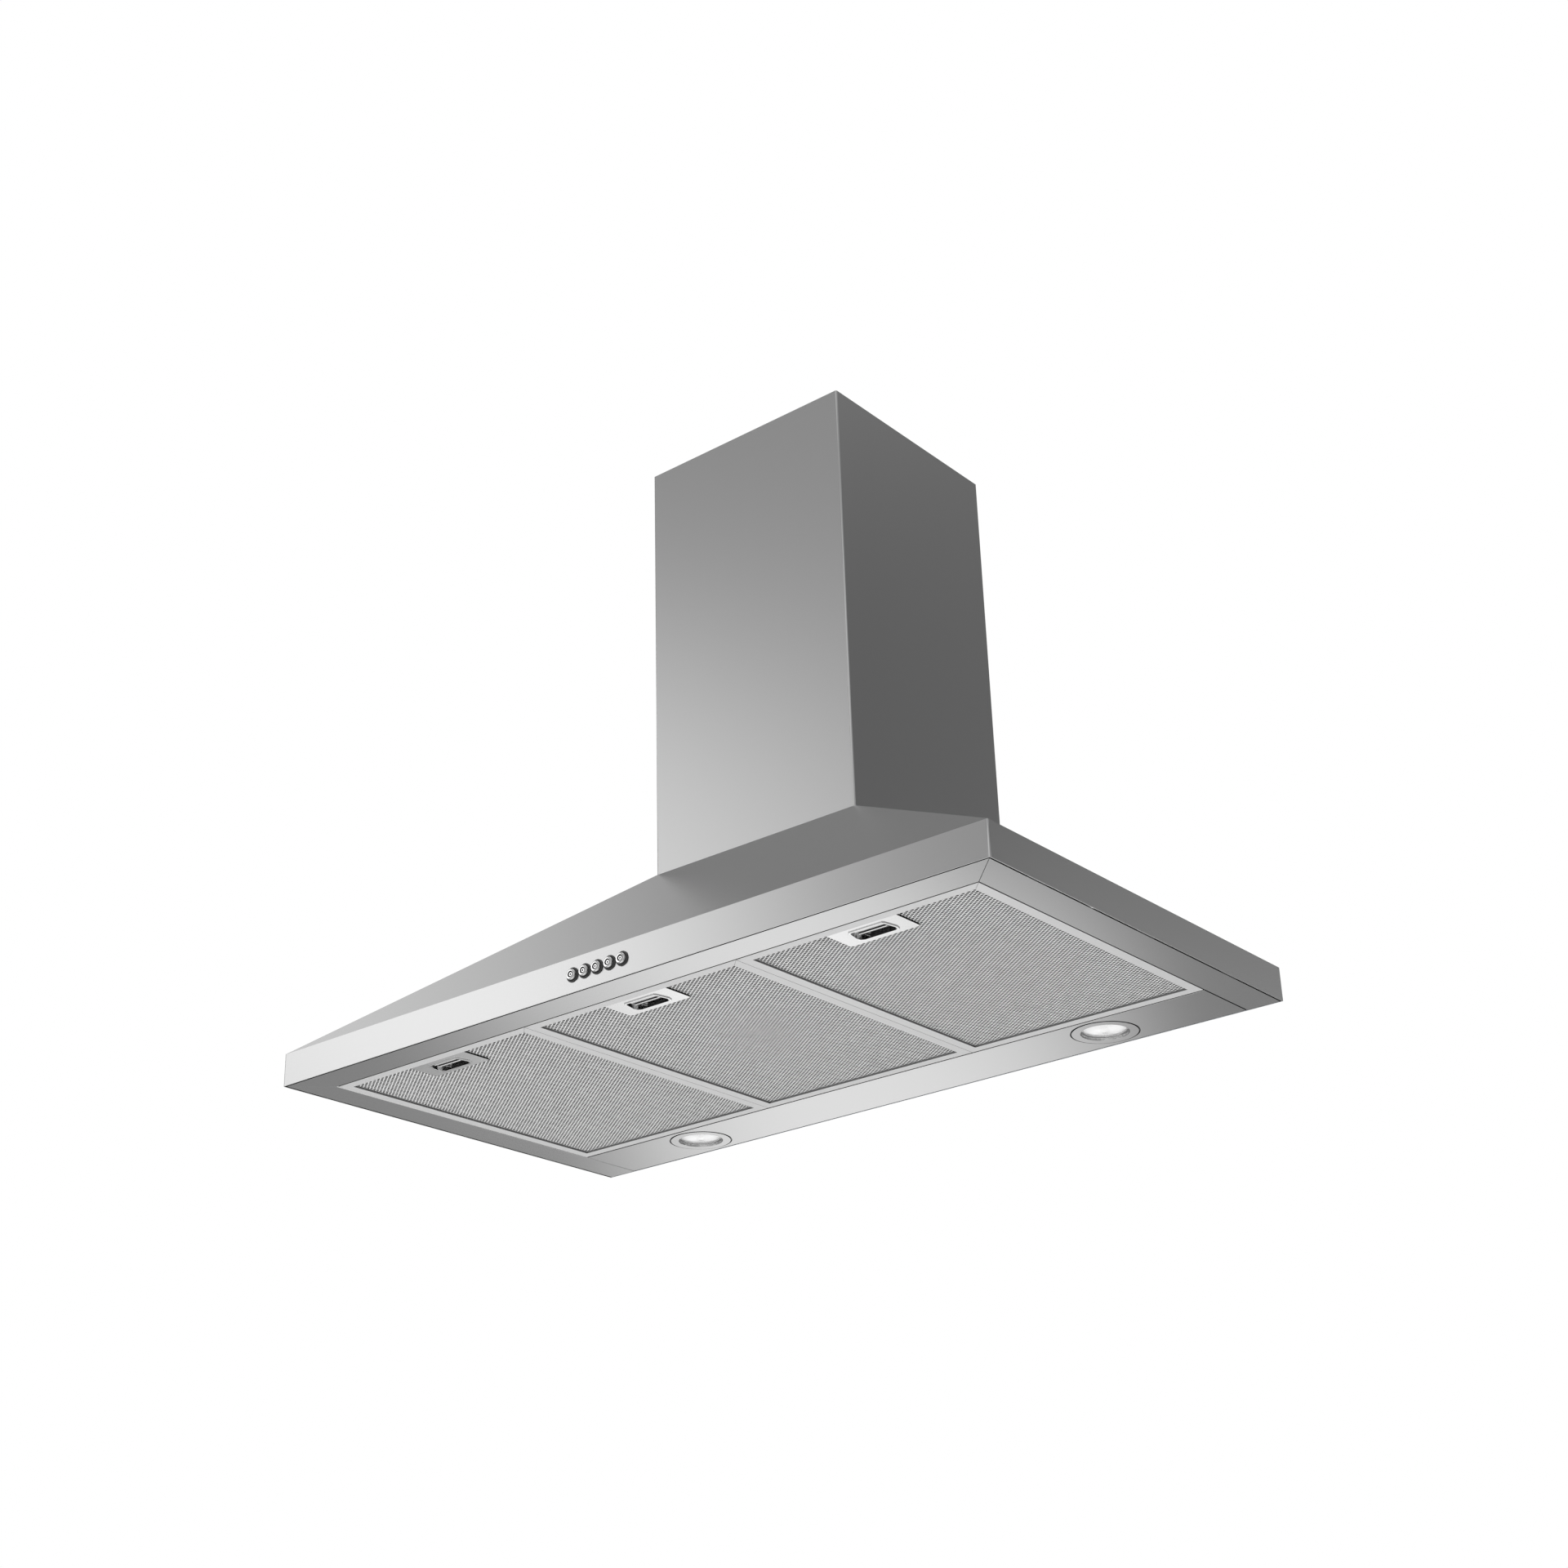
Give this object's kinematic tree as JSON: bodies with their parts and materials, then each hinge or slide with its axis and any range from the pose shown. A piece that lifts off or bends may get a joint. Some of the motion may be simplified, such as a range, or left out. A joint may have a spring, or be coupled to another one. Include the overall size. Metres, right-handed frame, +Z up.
{
  "type": "wall mount range hood",
  "caption": "Chimney range hood for a wall: pyramid canopy with a straight rim, mesh filters with sliding latches, push buttons, spot lamps and a telescopic chimney cover.",
  "frame": {"origin": "middle of the wall screw pattern, in the wall plane", "axes": "+X to the right seen from the front, +Y towards the wall, +Z up"},
  "size_m": [0.9, 0.504, 0.7206],
  "materials": {
    "skirt_steel": "fine brushed stainless steel",
    "cover_steel": "fine brushed stainless steel",
    "border_steel": "fine brushed stainless steel",
    "zinc_sheet": "zinc-coated sheet",
    "frame_aluminium": "satin folded aluminium",
    "mesh_aluminium": "expanded aluminium mesh",
    "latch_plate": "pale satin",
    "latch_chrome": "polished",
    "button_chrome": "polished",
    "lamp_ring": "satin turned ring",
    "lamp_glass": "clear, lightly ribbed",
    "reflector": "faceted bright reflector",
    "black_plastic": "fine matt",
    "white_plastic": "moulded",
    "wheel_plastic": "moulded",
    "flap_plastic": "moulded",
    "motor_paint": "satin paint",
    "shaft_steel": "ground steel",
    "screw_zinc": "zinc plated"
  },
  "bodies": {
    "hood": {"canopy_shell": "skirt_steel", "front_strip": "border_steel", "left_strip": "border_steel", "right_strip": "border_steel", "lamp_panel": "border_steel", "back_panel": "zinc_sheet", "blower_deck": "zinc_sheet", "blower_box": "zinc_sheet", "scroll_left": "white_plastic", "scroll_right": "white_plastic", "inlet_ring_left": "white_plastic", "inlet_ring_right": "white_plastic", "motor": "motor_paint", "motor_bracket": "motor_paint", "duct_collar": "zinc_sheet", "damper_pin": "shaft_steel", "lower_chimney": "cover_steel", "terminal_box": "white_plastic", "terminal_lid": "white_plastic", "cable_gland": "black_plastic", "capacitor": "motor_paint", "switch_body": "white_plastic", "button_collars": "black_plastic", "lamp_bezel_left": "lamp_ring", "lamp_bezel_right": "lamp_ring", "lamp_glass_left": "lamp_glass", "lamp_glass_right": "lamp_glass", "lamp_reflector_left": "reflector", "lamp_reflector_right": "reflector", "deck_screws": "screw_zinc", "chimney_screws": "screw_zinc", "collar_screws": "screw_zinc", "lid_screws": "screw_zinc"},
    "button_1": {"button_1": "button_chrome"},
    "button_2": {"button_2": "button_chrome"},
    "button_3": {"button_3": "button_chrome"},
    "button_4": {"button_4": "button_chrome"},
    "button_5": {"button_5": "button_chrome"},
    "wheel": {"impeller": "wheel_plastic", "motor_shaft": "shaft_steel"},
    "flap_front": {"damper_flap_front": "flap_plastic"},
    "flap_rear": {"damper_flap_rear": "flap_plastic"},
    "upper_cover": {"upper_chimney": "cover_steel", "chimney_bracket": "zinc_sheet"},
    "filter_left": {"filter_frame_left": "frame_aluminium", "filter_mesh_left": "mesh_aluminium", "latch_plate_left": "latch_plate", "latch_bezel_left": "latch_chrome"},
    "latch_left": {"latch_bar_left": "black_plastic"},
    "filter_middle": {"filter_frame_middle": "frame_aluminium", "filter_mesh_middle": "mesh_aluminium", "latch_plate_middle": "latch_plate", "latch_bezel_middle": "latch_chrome"},
    "latch_middle": {"latch_bar_middle": "black_plastic"},
    "filter_right": {"filter_frame_right": "frame_aluminium", "filter_mesh_right": "mesh_aluminium", "latch_plate_right": "latch_plate", "latch_bezel_right": "latch_chrome"},
    "latch_right": {"latch_bar_right": "black_plastic"}
  },
  "joints": [
    {"name": "button_1_press", "type": "slide", "parent": "hood", "child": "button_1", "axis": [0, 1, 0], "range_m": [0, 0.003], "stiffness_N_per_m": 300},
    {"name": "button_2_press", "type": "slide", "parent": "hood", "child": "button_2", "axis": [0, 1, 0], "range_m": [0, 0.003], "stiffness_N_per_m": 300},
    {"name": "button_3_press", "type": "slide", "parent": "hood", "child": "button_3", "axis": [0, 1, 0], "range_m": [0, 0.003], "stiffness_N_per_m": 300},
    {"name": "button_4_press", "type": "slide", "parent": "hood", "child": "button_4", "axis": [0, 1, 0], "range_m": [0, 0.003], "stiffness_N_per_m": 300},
    {"name": "button_5_press", "type": "slide", "parent": "hood", "child": "button_5", "axis": [0, 1, 0], "range_m": [0, 0.003], "stiffness_N_per_m": 300},
    {"name": "filter_left_drop", "type": "hinge", "parent": "hood", "child": "filter_left", "pos_m": [-0.2732, -0.0842, -0.1187], "axis": [1, 0, 0], "range_deg": [0, 40]},
    {"name": "latch_left_slide", "type": "slide", "parent": "filter_left", "child": "latch_left", "axis": [0, 1, 0], "range_m": [0, 0.006], "stiffness_N_per_m": 400},
    {"name": "filter_middle_drop", "type": "hinge", "parent": "hood", "child": "filter_middle", "pos_m": [0, -0.0842, -0.1187], "axis": [1, 0, 0], "range_deg": [0, 40]},
    {"name": "latch_middle_slide", "type": "slide", "parent": "filter_middle", "child": "latch_middle", "axis": [0, 1, 0], "range_m": [0, 0.006], "stiffness_N_per_m": 400},
    {"name": "filter_right_drop", "type": "hinge", "parent": "hood", "child": "filter_right", "pos_m": [0.2732, -0.0842, -0.1187], "axis": [1, 0, 0], "range_deg": [0, 40]},
    {"name": "latch_right_slide", "type": "slide", "parent": "filter_right", "child": "latch_right", "axis": [0, 1, 0], "range_m": [0, 0.006], "stiffness_N_per_m": 400},
    {"name": "wheel_spin", "type": "hinge", "parent": "hood", "child": "wheel", "pos_m": [0, -0.1505, 0.22], "axis": [1, 0, 0], "continuous": true},
    {"name": "flap_front_open", "type": "hinge", "parent": "hood", "child": "flap_front", "pos_m": [0, -0.1325, 0.3535], "axis": [-1, 0, 0], "range_deg": [0, 75]},
    {"name": "flap_rear_open", "type": "hinge", "parent": "hood", "child": "flap_rear", "pos_m": [0, -0.1325, 0.3535], "axis": [1, 0, 0], "range_deg": [0, 75]},
    {"name": "upper_cover_raise", "type": "slide", "parent": "hood", "child": "upper_cover", "axis": [0, 0, 1], "range_m": [0, 0.35]}
  ]
}
